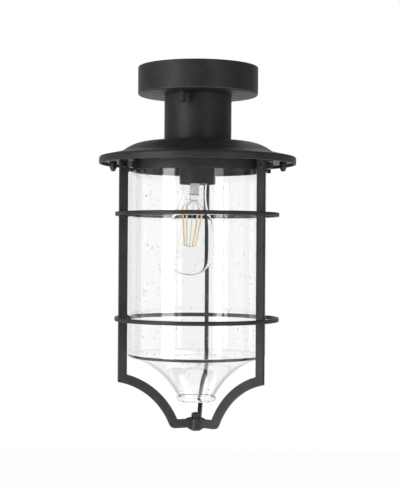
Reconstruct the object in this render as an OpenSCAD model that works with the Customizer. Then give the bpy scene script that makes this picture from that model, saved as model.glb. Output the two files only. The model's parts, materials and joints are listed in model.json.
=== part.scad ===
// Porch ceiling lantern: a ceiling canopy and short neck carry a spun cap. A cage of three blade
// legs and two rings hangs under the cap and holds a seeded glass shade round one screw-base lamp.
// Origin: centre of the mounting bracket's upper face, which lies on the ceiling. +Z is up.

/* [Canopy and neck] */
// Canopy outside diameter
canopy_d = 120; // [112:1:130]
// Canopy depth below the ceiling
canopy_h = 28; // [24:0.5:40]
// Canopy sheet thickness
canopy_t = 1.2; // [0.8:0.1:1.4]
// Radius of the canopy's lower edge
canopy_edge_r = 2; // [1.6:0.1:6]
// Neck tube outside diameter
neck_d = 67.1; // [60:0.5:68]
// Neck tube wall
neck_t = 1.5; // [1:0.1:4]
// Neck tube length between canopy and cap
neck_len = 45; // [32:1:80]

/* [Mounting bracket] */
// Circle of the canopy studs
stud_circle_d = 88.9; // [82:0.1:92]
// Circle of the box screws
box_circle_d = 69.85; // [60:0.05:76]
// Box screw hole diameter
box_hole_d = 5.2; // [4.2:0.1:6.5]
// Bracket strip width
bracket_w = 16; // [12:0.5:20]
// Bracket strip beyond the centre of a canopy stud
bracket_margin = 7.5; // [5:0.1:8.5]
// Bracket thickness
bracket_t = 1.6; // [1.2:0.1:2.4]
// Diameter of the bracket's middle disc
bracket_disc_d = 40; // [34:1:44]
// Wire hole through the bracket
wire_hole_d = 22; // [18:1:26]
// Direction of the canopy studs, seen from above
stud_angle = 70.3; // [60:0.1:80]

/* [Cap] */
// Cap outside diameter
cap_d = 196.6; // [188:0.2:206]
// Cap sheet thickness
cap_t = 1.6; // [1.4:0.1:1.8]
// Drop from the cap's flat top to the brim's outer edge
cap_drop = 16.3; // [15.8:0.1:17]
// Height of the brim's vertical lip
lip_h = 7.6; // [7.2:0.1:10]
// Radius where the brim turns down into the lip
brim_edge_r = 2.2; // [1.8:0.1:3]
// Radius of the dome's shoulder
dome_r = 41; // [40:0.5:42]
// Distance of the shoulder's centre in from the cap's outer edge
dome_inset = 49.4; // [48.9:0.1:49.9]

/* [Cage] */
// Gap between the glass and the legs' inner edges
cage_gap = 4.4; // [3.8:0.1:5.4]
// Leg blade width, measured outwards
leg_w = 8.6; // [8:0.1:9]
// Leg blade thickness
leg_t = 3.5; // [2.5:0.1:4.5]
// Gap between the glass's lip and the hub
hub_gap = 17.8; // [15:0.2:27]
// Width of the leg's swept lower part
sweep_w = 9.2; // [8:0.1:9.6]
// Radius of the sweep's lower edge
sweep_r = 74; // [73:0.1:75]
// How far the sweep's centre stands outside the cage
sweep_offset = 14.5; // [14:0.1:15]
// Directions of the left, right and back legs, seen from above
leg_angles = [202, 322, 82];
// Ring bar height
ring_h = 3.9; // [3:0.1:6]
// Ring bar width, measured outwards
ring_w = 4; // [3:0.1:5]
// Upper ring, distance below the cap's lip
ring_upper_drop = 49.8; // [35:0.2:60]
// Lower ring, distance below the cap's lip
ring_lower_drop = 154.1; // [120:0.2:170]
// Hub diameter
hub_d = 11.5; // [10:0.1:14]
// Hub height
hub_h = 12; // [11.5:0.1:18]

/* [Glass shade] */
// Glass outside diameter
glass_d = 138; // [132:0.2:140]
// Glass wall
glass_t = 3; // [2.4:0.1:3.6]
// Length of the glass from its top to the shoulder
glass_len = 199.2; // [180:0.2:225]
// Radius of the bell's hollow underside
bell_r = 75.5; // [75:0.1:76.5]
// How far the bell curve's centre stands outside the glass
bell_offset = 17.3; // [17:0.1:17.6]
// Depth of the bell from shoulder to lip
bell_h = 44.7; // [43:0.1:45.4]
// Radius of the glass shoulder's outer edge
shoulder_r = 3; // [2:0.1:4]

/* [Lamp] */
// Lean of the lampholder and lamp, left to right
lamp_lean = 4.6; // [0:0.1:4.8]
// Lamp bulb diameter
bulb_d = 52; // [48:0.5:56]
// Distance from the lamp's base to the bottom of its bulb
bulb_len = 91.9; // [86:0.1:96]
// Socket cup diameter
cup_d = 36; // [36:0.2:40]
// Depth of the socket cup below the cap's top
cup_h = 41.9; // [38:0.1:44]

/* [Hidden] */

black = "#2b2b2c";
zinc = "#b9bbbd";
brass = "#c9a24a";
$fn = 96;
eps = 0.5;                     // how far a cutter runs past the face it cuts

// Fits: added to a radius or a face so that pieces go together
thread_fit = 0.05;             // running thread
hole_fit = 0.25;               // screw or rod through a plain hole
weld_fit = 0.05;               // pieces brought face to face and welded
seat_fit = 0.1;                // loose pieces resting beside each other

// Screws, by outside radius of the thread
m5_r = 2.45;
m4_r = 2;
rod_r = 4.85;
rod_bore_r = 3.2;
m4_nut_af = 7;
rod_nut_af = 14;
rod_nut_h = 3.5;
washer_t = 0.8;

// Levels below the ceiling
neck_top = -canopy_h;
cap_top = neck_top - neck_len;
brim_top = cap_top - cap_drop;
lip_z = brim_top - lip_h;
plate_t = 1.6;
lip_below_plate = 2.7;
plate_z = lip_z + lip_below_plate;     // underside of the cage's top plate
plate_top = plate_z + plate_t;

// Canopy fasteners
stud_circle_r = stud_circle_d / 2;
bracket_len = stud_circle_d + 2 * bracket_margin;
stud_reach = 8;
ground_r = 28;
ground_head_h = 3;
canopy_nut_r = 3.5;
canopy_nut_h = 11;
canopy_nut_bore = 8.5;

// Cap outline: flat top, gentle slope, round shoulder, straight fall, sloping brim
cap_r = cap_d / 2;
neck_seat = 1.25;                      // flat left round the neck
flat_r = neck_d / 2 + neck_seat;
slope_a = 6.4;
slope_drop = 2.1;
fall_a = 33;
brim_a = 11;
brim_w = 21.4;
dome_centre = cap_r - dome_inset;
dome_z = cap_top - slope_drop - dome_r * sin(90 - slope_a);
fall_start = dome_centre + dome_r * sin(fall_a);
fall_top = dome_z + dome_r * cos(fall_a);
fall_end = cap_r - brim_w;

// Glass
glass_r = glass_d / 2;
gasket_t = 0.8;
flange_w = 3.3;
flange_r = glass_r + flange_w;
flange_t = 3;
glass_top = plate_top + gasket_t + flange_t;
shoulder_z = glass_top - glass_len;
bell_centre = glass_r + bell_offset;
bell_z = shoulder_z - sqrt(pow(bell_r, 2) - pow(bell_offset, 2));
lip_bead_r = 2.75;
lip_proud = 0.2;                       // how far the bead stands inside the wall
lip_level = shoulder_z - bell_h + lip_bead_r;
lip_bead_centre = bell_centre - sqrt(pow(bell_r + glass_t, 2) - pow(lip_level - bell_z, 2))
    + lip_bead_r - lip_proud;
cushion_inset = 1.5;
cushion_r = flange_r - cushion_inset;
cushion_gap = 0.6;                     // from the sponge's outer edge to the cap's underside
cushion_h = cap_height(cushion_r) - cap_t - cushion_gap - glass_top;

// Cap screws, which hold the cage up against the cap: between the glass and the cap's lip
cap_screw_shift = 0.8;
cap_screw_r = (flange_r + cap_r - cap_t) / 2 + cap_screw_shift;
cap_screw_gap = 0.6;                   // from the screw's end to the cap's underside
cap_screw_angles = [175, 355];
cap_head_r = 3.6;
cap_head_tip_r = 2.3;
cap_head_h = 8.6;
cap_head_straight = 4.8;
cap_head_round = 1;
boss_r = 5;
boss_gap = 0.3;                        // between boss and cage plate

// Cage
hub_top = shoulder_z - bell_h - hub_gap;
hub_z = hub_top - hub_h;               // underside of the hub
leg_in = glass_r + cage_gap;
cage_r = leg_in + leg_w;
sweep_centre = cage_r + sweep_offset;
collar_t = 1.4;
collar_h = 10.3;
collar_fit = 0.4;                      // slack of the glass in its collar
collar_in = glass_r + collar_fit;
leg_flat_h = 8.6;                      // height of the leg where it meets the hub
leg_flat_rise = 3.4;                   // leg's underside above the hub's
sweep_drop = 24.8;                     // sweep's centre below the leg's underside
sweep_fillet = 6;
heel_fillet = 2.5;
foot_t = 1.6;
foot_screw_in = 1.8;                   // foot screw: outwards from the blade's inner edge
foot_screw_side = 16.7;                // and round from the blade's middle
foot_screw = [leg_in + foot_screw_in, foot_screw_side];
foot_w = 8.2;
foot_tab_h = 12.8;
rivet_r = 1.6;
rivet_drop = 6.7;
rivet_cut = 4 * (leg_t + foot_t);      // length of the cutter that crosses blade and foot
leg_nut_h = 6.2;
leg_screw_end = 12.9;                  // how far the foot screws hang below the plate
leg_screw_head_r = 3.4;
leg_screw_head_h = 2.4;
hub_bolt_af = 8;
hub_bolt_head = 5.2;
hub_bolt_dome = 1.1;
hub_bolt_len = 8;

// Lampholder and lamp, in a frame of their own that leans about a point inside the cup
cup_t = 0.8;
strap_t = 1.2;
cup_top = cap_top - cap_t;
cup_stack = cup_top - cup_t - strap_t;  // underside of the strap that the rod clamps
rod_reach = 10;                        // rod above the canopy's floor
rod_top = neck_top + rod_reach;
rod_spare = 0.6;
rod_end = cup_stack - washer_t - rod_nut_h - rod_spare;
lamp_offset = -1;
lamp_pivot = cap_top - 24.2;
strap_w = 12;
strap_reach = 8;
strap_side = 14;
holder_r = 14.9;
holder_top = 11;
holder_bottom = -12.5;
holder_web = 5;
holder_screw_x = 6;
holder_screw_r = 1.4;
holder_screw_len = 4;
holder_hole_h = 5;
terminal_y = 10;
contact_t = 0.5;
shell_r = 13.8;
shell_t = 0.45;
base_r = 13.05;
base_t = 0.45;
base_bottom = -19;
base_top = 1;
base_shoulder = 2.2;
base_top_r = 8;
insulator_h = 1.3;
base_ridge_r = 0.45;                   // height of the screw thread on the lamp's base
neck_glass_r = base_r - base_ridge_r - base_t - seat_fit;
bulb_t = 0.8;
bulb_r = bulb_d / 2;
bulb_flank_r = 82;                     // radius of the bulb's flank above its widest part
bulb_mid = base_bottom - bulb_len + bulb_r;
bulb_neck = -24.9;                     // where the neck starts to widen
seal_z = 0.7;                          // underside of the bulb's sealed neck, above the base's rim
stem_pinch = 2;
stem_r = 4.65;
stem_end = -35.7;
filament_top = -43;
filament_len = 38;
filament_r = 0.85;
filament_ring_top = 12;
filament_ring_end = 6.3;
filament_turn = 61;                    // direction of the first of four filaments
wire_r = 0.3;
wire_gap = wire_r + weld_fit;          // between a wire's end and what it is welded to
wire_spread = 2.4;
anchor_drop = 1.6;                     // lower joint of the filaments, below their ends
filament_low = filament_top - sqrt(pow(filament_len, 2)
    - pow(filament_ring_top - filament_ring_end, 2));

// Points on an arc about c, from angle a0 to a1
function arc(c, r, a0, a1, n = 10) =
    [for (i = [0:n]) c + r * [cos(a0 + (a1 - a0) * i / n), sin(a0 + (a1 - a0) * i / n)]];

// Height of the brim's upper side at a distance from the axis
function brim_height(r) = brim_top + (cap_r - r) * tan(brim_a);

// Height of the cap's upper side at a distance from the axis: dome, straight fall, then brim
function cap_height(r) = r < fall_start ? dome_z + sqrt(pow(dome_r, 2) - pow(r - dome_centre, 2))
    : r > fall_end ? brim_height(r)
    : fall_top + (brim_height(fall_end) - fall_top) * (r - fall_start) / (fall_end - fall_start);

// ---- shared shapes

// A tube or washer from z0 up to z1
module tube(r_out, r_in, z0, z1) {
    difference() {
        translate([0, 0, z0]) cylinder(r = r_out, h = z1 - z0);
        translate([0, 0, z0 - eps]) cylinder(r = r_in, h = z1 - z0 + 2 * eps);
    }
}

// A hexagon nut or head with its flats af apart, standing on z0
module hexagon(af, z0, h) {
    translate([0, 0, z0]) cylinder(d = af / cos(30), h = h, $fn = 6);
}

module hex_nut(af, hole_r, z0, h) {
    difference() {
        hexagon(af, z0, h);
        translate([0, 0, z0 - eps]) cylinder(r = hole_r, h = h + 2 * eps);
    }
}

// A pan head standing on z0, its sides drawn in towards the top
module pan_head(r, z0, h) {
    taper = 0.8;
    translate([0, 0, z0]) cylinder(r1 = r, r2 = r * taper, h = h);
}

// A round bar between two points
module bar(p, q, r) {
    d = q - p;
    translate(p)
        rotate([0, acos(d[2] / norm(d)), atan2(d[1], d[0])])
            cylinder(r = r, h = norm(d), $fn = 24);
}

// Children at a distance from the axis, in a direction seen from above
module at_polar(r, a) {
    rotate([0, 0, a]) translate([r, 0, 0]) children();
}

module in_lamp_frame() {
    translate([lamp_offset, 0, lamp_pivot]) rotate([0, lamp_lean, 0]) children();
}

// ---- bracket, canopy and neck

// Crossed strips with a middle disc: box screws on one strip, canopy studs on the other
module mounting_bracket() {
    color(zinc) difference() {
        union() {
            for (a = [0, 90])
                rotate([0, 0, stud_angle + a]) translate([-bracket_len / 2, -bracket_w / 2, -bracket_t])
                    cube([bracket_len, bracket_w, bracket_t]);
            translate([0, 0, -bracket_t]) cylinder(d = bracket_disc_d, h = bracket_t);
        }
        translate([0, 0, -bracket_t - eps]) cylinder(d = wire_hole_d, h = bracket_t + 2 * eps);
        for (a = [90, 270])
            at_polar(box_circle_d / 2, stud_angle + a) translate([0, 0, -bracket_t - eps])
                cylinder(d = box_hole_d, h = bracket_t + 2 * eps);
        for (a = [0, 180])
            at_polar(stud_circle_r, stud_angle + a) translate([0, 0, -bracket_t - eps])
                cylinder(r = m5_r + thread_fit, h = bracket_t + 2 * eps);
        at_polar(ground_r, stud_angle + 180) translate([0, 0, -bracket_t - eps])
            cylinder(r = m4_r + thread_fit, h = bracket_t + 2 * eps);
    }
}

module ground_screw() {
    color("#2f8f46") at_polar(ground_r, stud_angle + 180) {
        hexagon(m4_nut_af, -bracket_t - ground_head_h, ground_head_h);
        translate([0, 0, -bracket_t]) cylinder(r = m4_r, h = bracket_t);
    }
}

module canopy_studs() {
    color(zinc) for (a = [0, 180])
        at_polar(stud_circle_r, stud_angle + a)
            translate([0, 0, neck_top - stud_reach]) cylinder(r = m5_r, h = canopy_h + stud_reach);
}

module stud_locknuts() {
    locknut_af = 8;
    locknut_h = 4;
    color(zinc) for (a = [0, 180])
        at_polar(stud_circle_r, stud_angle + a)
            hex_nut(locknut_af, m5_r + thread_fit, -bracket_t - locknut_h, locknut_h);
}

// A shallow spun cup, open to the ceiling, with a rounded lower edge
module canopy() {
    r = canopy_d / 2;
    color(black) difference() {
        rotate_extrude() difference() {
            polygon(concat([[0, 0], [0, neck_top]],
                arc([r - canopy_edge_r, neck_top + canopy_edge_r], canopy_edge_r, -90, 0, 6),
                [[r, 0]]));
            polygon(concat([[0, eps], [0, neck_top + canopy_t]],
                arc([r - canopy_edge_r, neck_top + canopy_edge_r], canopy_edge_r - canopy_t,
                    -90, 0, 6),
                [[r - canopy_t, eps]]));
        }
        translate([0, 0, neck_top - eps]) cylinder(r = rod_r + hole_fit, h = canopy_t + 2 * eps);
        for (a = [0, 180])
            at_polar(stud_circle_r, stud_angle + a) translate([0, 0, neck_top - eps])
                cylinder(r = m5_r + hole_fit, h = canopy_t + 2 * eps);
    }
}

module neck_tube() {
    color(black) tube(neck_d / 2, neck_d / 2 - neck_t, cap_top, neck_top);
}

// The hollow rod draws canopy, neck, cap and socket cup together
module threaded_rod() {
    color(zinc) tube(rod_r, rod_bore_r, rod_end, rod_top);
}

module rod_nuts() {
    color(zinc) {
        hex_nut(rod_nut_af, rod_r + thread_fit, neck_top + canopy_t + washer_t, rod_nut_h);
        hex_nut(rod_nut_af, rod_r + thread_fit, cup_stack - washer_t - rod_nut_h, rod_nut_h);
    }
}

// Toothed lock washers: a ring with inward notches
module lock_washer(z0) {
    teeth = 8;
    notch_r = 1;
    outer_r = 8.4;
    difference() {
        tube(outer_r, rod_r + hole_fit, z0, z0 + washer_t);
        for (i = [0:teeth - 1])
            at_polar(outer_r, i * 360 / teeth) translate([0, 0, z0 - eps])
                cylinder(r = notch_r, h = washer_t + 2 * eps);
    }
}

module rod_washers() {
    color(zinc) {
        lock_washer(neck_top + canopy_t);
        lock_washer(cup_stack - washer_t);
    }
}

// Snap-in sleeve that keeps the supply wires off the rod's edge
module wire_bushing() {
    bushing_bore_r = 2.5;
    bushing_lip_r = 6;
    bushing_lip_h = 1.8;
    bushing_sleeve = 6;
    color("#1d1d1f") {
        tube(bushing_lip_r, bushing_bore_r, rod_top, rod_top + bushing_lip_h);
        tube(rod_bore_r - thread_fit, bushing_bore_r, rod_top - bushing_sleeve, rod_top + eps);
    }
}

// A cap nut on a canopy stud, with its washer; both sit on the stud's own axis
module canopy_washer(a) {
    rim = 0.4;
    color(zinc) at_polar(stud_circle_r, a)
        tube(canopy_nut_r + rim, m5_r + hole_fit, neck_top - washer_t, neck_top);
}

module canopy_nut(a) {
    top = neck_top - washer_t;
    round_r = 1.2;
    color(black) at_polar(stud_circle_r, a) difference() {
        rotate_extrude() polygon(concat([[0, top], [0, top - canopy_nut_h]],
            arc([canopy_nut_r - round_r, top - canopy_nut_h + round_r], round_r, -90, 0, 6),
            [[canopy_nut_r, top]]));
        translate([0, 0, top - canopy_nut_bore])
            cylinder(r = m5_r + thread_fit, h = canopy_nut_bore + eps);
    }
}

module canopy_washer_front() canopy_washer(stud_angle + 180);
module canopy_nut_front() canopy_nut(stud_angle + 180);
module canopy_washer_rear() canopy_washer(stud_angle);
module canopy_nut_rear() canopy_nut(stud_angle);

// ---- cap

// Outside of the cap out to edge_r, closed along the level of the lip's lower edge
function cap_outline(edge_r, floor_z) = concat(
    [[0, floor_z], [0, cap_top], [flat_r, cap_top]],
    arc([dome_centre, dome_z], dome_r, 90 - slope_a, 90 - fall_a, 10),
    [[fall_end, brim_height(fall_end)]],
    arc([edge_r - brim_edge_r, brim_height(edge_r) - brim_edge_r], brim_edge_r, 90 - brim_a, 0, 6),
    [[edge_r, floor_z]]);

module cap_shell() {
    rotate_extrude() difference() {
        polygon(cap_outline(cap_r, lip_z));
        translate([0, -cap_t]) polygon(cap_outline(cap_r - cap_t, lip_z - eps));
    }
}

module cap() {
    color(black) difference() {
        cap_shell();
        translate([0, 0, cap_top - cap_t - eps])
            cylinder(r = rod_r + hole_fit, h = cap_t + 2 * eps);
    }
}

// Threaded bosses welded under the brim, their tops cut to its slope
module cap_bosses() {
    color(zinc) for (a = cap_screw_angles)
        intersection() {
            at_polar(cap_screw_r, a)
                tube(boss_r, m4_r + thread_fit, plate_top + boss_gap, brim_height(cap_screw_r));
            rotate_extrude() translate([0, -cap_t]) polygon(cap_outline(cap_r - cap_t, lip_z - eps));
        }
}

module cap_washer(a) {
    color(zinc) at_polar(cap_screw_r, a)
        tube(cap_head_r, m4_r + hole_fit, plate_z - washer_t, plate_z);
}

// A captive screw that holds the cage plate: tapered head below, thread up into the boss
module cap_screw(a) {
    top = plate_z - washer_t;
    tip = top - cap_head_h;
    end = brim_height(cap_screw_r + m4_r) - cap_t - cap_screw_gap;
    color(black) at_polar(cap_screw_r, a) {
        rotate_extrude() polygon(concat(
            [[0, top], [0, tip]],
            arc([cap_head_tip_r - cap_head_round, tip + cap_head_round], cap_head_round, -90, 0, 5),
            [[cap_head_r, top - cap_head_straight], [cap_head_r, top]]));
        translate([0, 0, top]) cylinder(r = m4_r, h = end - top);
    }
}

module cap_washer_left() cap_washer(cap_screw_angles[0]);
module cap_screw_left() cap_screw(cap_screw_angles[0]);
module cap_washer_right() cap_washer(cap_screw_angles[1]);
module cap_screw_right() cap_screw(cap_screw_angles[1]);

// ---- cage

module cage_plate() {
    edge_gap = 0.8;
    color(black) difference() {
        tube(cap_r - cap_t - edge_gap, collar_in, plate_z, plate_top);
        for (a = cap_screw_angles)
            at_polar(cap_screw_r, a) translate([0, 0, plate_z - eps])
                cylinder(r = m4_r + hole_fit, h = plate_t + 2 * eps);
        for (a = leg_angles)
            rotate([0, 0, a]) translate([foot_screw[0], foot_screw[1], plate_z - eps])
                cylinder(r = m4_r + hole_fit, h = plate_t + 2 * eps);
    }
}

module collar() {
    color(black) tube(collar_in + collar_t, collar_in, plate_z - collar_h, plate_z);
}

// Side view of a leg, outwards along x and up along y. The blade falls straight, turns at a sharp
// outer corner and sweeps in under the glass between two arcs about one centre, then rounds into
// the short flat that meets the hub.
module leg_outline() {
    lap = 1;                           // how far the pieces of the outline run into each other
    flat_z = hub_z + leg_flat_rise;
    flat_top = flat_z + leg_flat_h;
    upper_r = sweep_r + sweep_w;
    centre = [sweep_centre, flat_z - sweep_drop];
    // the lower fillet touches the flat's underside and the sweep's lower arc
    low_z = flat_z + sweep_fillet;
    low = [sweep_centre - sqrt(pow(sweep_r + sweep_fillet, 2) - pow(low_z - centre[1], 2)), low_z];
    low_arc = centre + (low - centre) * sweep_r / (sweep_r + sweep_fillet);
    // the upper fillet touches the flat's top and the sweep's upper arc
    high_z = flat_top + heel_fillet;
    high = [sweep_centre - sqrt(pow(upper_r + heel_fillet, 2) - pow(high_z - centre[1], 2)), high_z];
    high_arc = centre + (high - centre) * upper_r / (upper_r + heel_fillet);
    corner_z = centre[1] + sqrt(pow(sweep_r, 2) - pow(sweep_centre - cage_r, 2));
    difference() {
        union() {
            translate([leg_in, corner_z - leg_w]) square([leg_w, plate_z - corner_z + leg_w]);
            intersection() {
                translate(centre) circle(r = upper_r);
                polygon([low, low_arc, [leg_in + lap, low_arc[1]], [leg_in + lap, corner_z + leg_w],
                    [high_arc[0], corner_z + leg_w], high_arc]);
            }
            difference() {
                polygon([[0, flat_z], [low[0], flat_z], low, low_arc, high_arc, high,
                    [high[0], flat_top], [0, flat_top]]);
                translate(high) circle(r = heel_fillet);
            }
            intersection() {
                translate(low) circle(r = sweep_fillet);
                polygon([[low[0] - lap, low[1] + lap], [low[0] - lap, flat_z - eps],
                    [low_arc[0] + 2 * lap, flat_z - eps], [low_arc[0] + 2 * lap, low[1] + lap]]);
            }
        }
        translate(centre) circle(r = sweep_r);
    }
}

// One leg, notched on its outer edge for the rings and cut to fit the hub
module leg(a) {
    rotate([0, 0, a]) color(black) difference() {
        rotate([90, 0, 0]) translate([0, 0, -leg_t / 2]) linear_extrude(leg_t) leg_outline();
        for (drop = [ring_upper_drop, ring_lower_drop])
            tube(cage_r + 2 * eps, cage_r - ring_w - weld_fit,
                lip_z - drop - ring_h / 2 - weld_fit, lip_z - drop + ring_h / 2 + weld_fit);
        translate([0, 0, hub_z - eps]) cylinder(r = hub_d / 2 + weld_fit, h = hub_h + 2 * eps);
        rivet_place() cylinder(r = rivet_r, h = rivet_cut, center = true);
    }
}

module leg_left() leg(leg_angles[0]);
module leg_right() leg(leg_angles[1]);
module leg_back() leg(leg_angles[2]);

// Children on the axis of a leg's rivet, which crosses the blade near its top
module rivet_place() {
    translate([leg_in + leg_w / 2, 0, plate_z - rivet_drop]) rotate([90, 0, 0]) children();
}

// Angle feet: one flange riveted to the blade's side, the other screwed up to the cage plate
module leg_feet() {
    color(black) for (a = leg_angles)
        rotate([0, 0, a]) difference() {
            union() {
                translate([leg_in, leg_t / 2, plate_z - foot_tab_h])
                    cube([foot_w, foot_t, foot_tab_h]);
                translate([foot_screw[0] - foot_w / 2, leg_t / 2, plate_z - foot_t])
                    cube([foot_w, foot_screw[1] - leg_t / 2, foot_t]);
                translate([foot_screw[0], foot_screw[1], plate_z - foot_t])
                    cylinder(r = foot_w / 2, h = foot_t);
            }
            translate([foot_screw[0], foot_screw[1], plate_z - foot_t - eps])
                cylinder(r = m4_r + hole_fit, h = foot_t + 2 * eps);
            rivet_place() cylinder(r = rivet_r, h = rivet_cut, center = true);
        }
}

module leg_rivets() {
    head_h = 0.8;
    head_r = 2.2;
    face_r = 1.3;
    grip = leg_t + foot_t;
    color(black) for (a = leg_angles)
        rotate([0, 0, a]) rivet_place() translate([0, 0, leg_t / 2]) {
            translate([0, 0, -grip]) cylinder(r = rivet_r - weld_fit, h = grip);
            cylinder(r1 = head_r, r2 = face_r, h = head_h);
            translate([0, 0, -grip - head_h]) cylinder(r1 = face_r, r2 = head_r, h = head_h);
        }
}

// The feet's screws pass down through plate and foot, and their ends stand below the nuts
module leg_screws() {
    color(zinc) for (a = leg_angles)
        rotate([0, 0, a]) translate([foot_screw[0], foot_screw[1], 0]) {
            translate([0, 0, plate_z - leg_screw_end])
                cylinder(r = m4_r, h = leg_screw_end + plate_t);
            pan_head(leg_screw_head_r, plate_top, leg_screw_head_h);
        }
}

module leg_washers() {
    rim = 0.3;
    color(zinc) for (a = leg_angles)
        rotate([0, 0, a]) translate([foot_screw[0], foot_screw[1], 0])
            tube(m4_nut_af / 2 + rim, m4_r + hole_fit, plate_z - foot_t - washer_t, plate_z - foot_t);
}

module leg_nuts() {
    color(black) for (a = leg_angles)
        rotate([0, 0, a]) translate([foot_screw[0], foot_screw[1], 0])
            hex_nut(m4_nut_af, m4_r + thread_fit, plate_z - foot_t - washer_t - leg_nut_h, leg_nut_h);
}

module cage_ring(drop) {
    color(black) tube(cage_r, cage_r - ring_w, lip_z - drop - ring_h / 2, lip_z - drop + ring_h / 2);
}

module ring_upper() cage_ring(ring_upper_drop);
module ring_lower() cage_ring(ring_lower_drop);

module hub_boss() {
    round_r = 2;
    spare = 1;
    r = hub_d / 2;
    color(black) difference() {
        rotate_extrude() polygon(concat([[0, hub_top], [0, hub_z]],
            arc([r - round_r, hub_z + round_r], round_r, -90, 0, 6), [[r, hub_top]]));
        translate([0, 0, hub_top - hub_bolt_len - spare])
            cylinder(r = m5_r + thread_fit, h = hub_bolt_len + spare + eps);
    }
}

// The bolt that drew the legs' ends down on the hub while they were welded
module hub_bolt() {
    color(black) {
        translate([0, 0, hub_top - hub_bolt_len]) cylinder(r = m5_r, h = hub_bolt_len);
        hexagon(hub_bolt_af, hub_top, hub_bolt_head);
        translate([0, 0, hub_top + hub_bolt_head])
            cylinder(r1 = hub_bolt_af / 2, r2 = hub_bolt_af / 3, h = hub_bolt_dome);
    }
}

// ---- glass

// Everything inside a surface that lies t under the outside of the glass: a straight wall closed
// below by the bell's hollow curve
module glass_body(t, top, floor_z) {
    difference() {
        translate([0, floor_z]) square([glass_r - t, top - floor_z]);
        translate([bell_centre, bell_z]) circle(r = bell_r + t);
    }
}

// Half section of the shade: flange, straight wall, rounded shoulder, hollow bell, beaded lip
module glass_section() {
    bell = [bell_centre, bell_z];
    // the shoulder's rounding touches the wall and the bell's curve
    round_c = [glass_r - shoulder_r, bell_z + sqrt(pow(bell_r + shoulder_r, 2)
        - pow(bell_offset + shoulder_r, 2))];
    round_end = bell + (round_c - bell) * bell_r / (bell_r + shoulder_r);
    difference() {
        glass_body(0, glass_top, lip_level);
        glass_body(glass_t, glass_top + eps, lip_level - eps);
        difference() {
            polygon([round_c, [glass_r + eps, round_c[1]], [glass_r + eps, round_end[1] - eps],
                [round_end[0], round_end[1] - eps], round_end]);
            translate(round_c) circle(r = shoulder_r);
        }
    }
    translate([glass_r - glass_t, glass_top - flange_t])
        square([flange_r - glass_r + glass_t, flange_t]);
    translate([lip_bead_centre, lip_level]) circle(r = lip_bead_r, $fn = 32);
}

module glass_shade() {
    color([0.86, 0.88, 0.88, 0.35]) rotate_extrude() glass_section();
}

module glass_gasket() {
    color("#5c5c5e") tube(flange_r, collar_in + seat_fit, plate_top, plate_top + gasket_t);
}

// Sponge ring that stops the glass rattling against the cap
module glass_cushion() {
    color("#5c5c5e")
        tube(cushion_r, glass_r - cushion_inset, glass_top, glass_top + cushion_h);
}

// ---- lampholder

module socket_cup() {
    r = cup_d / 2;
    bottom = cup_top - cup_h;
    color(black) difference() {
        translate([0, 0, bottom]) cylinder(r = r, h = cup_h);
        translate([0, 0, bottom - eps]) cylinder(r = r - cup_t, h = cup_h - cup_t + eps);
        translate([0, 0, cup_top - cup_t - eps])
            cylinder(r = rod_r + hole_fit, h = cup_t + 2 * eps);
    }
}

// A bent strap: its top is clamped on the rod and its foot, bent to the lamp's lean, is screwed
// to the lampholder
module holder_strap() {
    bury = 0.4;                        // keeps the bends one piece
    foot_spare = 0.9;
    contact_hole_r = 3;
    clear_r = 30;
    color(zinc) difference() {
        union() {
            translate([-strap_reach, -strap_w / 2, cup_stack])
                cube([strap_side + strap_reach, strap_w, strap_t]);
            translate([strap_side - strap_t, -strap_w / 2, lamp_pivot + holder_top - bury])
                cube([strap_t, strap_w, cup_stack + strap_t - lamp_pivot - holder_top + bury]);
            in_lamp_frame() translate([-strap_reach, -strap_w / 2, holder_top])
                cube([strap_side + strap_reach + foot_spare, strap_w, strap_t]);
        }
        translate([0, 0, cup_stack - eps]) cylinder(r = rod_r + hole_fit, h = strap_t + 2 * eps);
        in_lamp_frame() {
            translate([0, 0, holder_top - eps]) cylinder(r = contact_hole_r, h = strap_t + 2 * eps);
            for (x = [-holder_screw_x, holder_screw_x])
                translate([x, 0, holder_top - eps])
                    cylinder(r = holder_screw_r + hole_fit, h = strap_t + 2 * eps);
        }
        // nothing of the strap reaches below the lampholder's top face
        in_lamp_frame() translate([0, 0, holder_top - strap_side])
            cylinder(r = clear_r, h = strap_side);
    }
}

module holder_screws() {
    head_r = 2.6;
    head_h = 1.4;
    color(zinc) in_lamp_frame() for (x = [-holder_screw_x, holder_screw_x])
        translate([x, 0, 0]) {
            pan_head(head_r, holder_top + strap_t, head_h);
            translate([0, 0, holder_top - holder_screw_len])
                cylinder(r = holder_screw_r, h = holder_screw_len + strap_t);
        }
}

// Glazed porcelain body: a cup for the screw shell, with a thick top web
module lampholder() {
    contact_bore_r = 1.6;
    color("#efeee8") in_lamp_frame() difference() {
        translate([0, 0, holder_bottom]) cylinder(r = holder_r, h = holder_top - holder_bottom);
        translate([0, 0, holder_bottom - eps])
            cylinder(r = shell_r + seat_fit, h = holder_web - holder_bottom + eps);
        translate([0, 0, holder_web - eps])
            cylinder(r = contact_bore_r, h = holder_top - holder_web + 2 * eps);
        for (side = [-1, 1])
            for (place = [[side * holder_screw_x, 0], [0, side * terminal_y]])
                translate([place[0], place[1], holder_top - holder_hole_h])
                    cylinder(r = holder_screw_r + thread_fit, h = holder_hole_h + eps);
    }
}

module terminal_screws() {
    head_r = 2.5;
    head_h = 1.6;
    color(brass) in_lamp_frame() for (y = [-terminal_y, terminal_y])
        translate([0, y, 0]) {
            pan_head(head_r, holder_top, head_h);
            translate([0, 0, holder_top - holder_screw_len])
                cylinder(r = holder_screw_r, h = holder_screw_len);
        }
}

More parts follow.
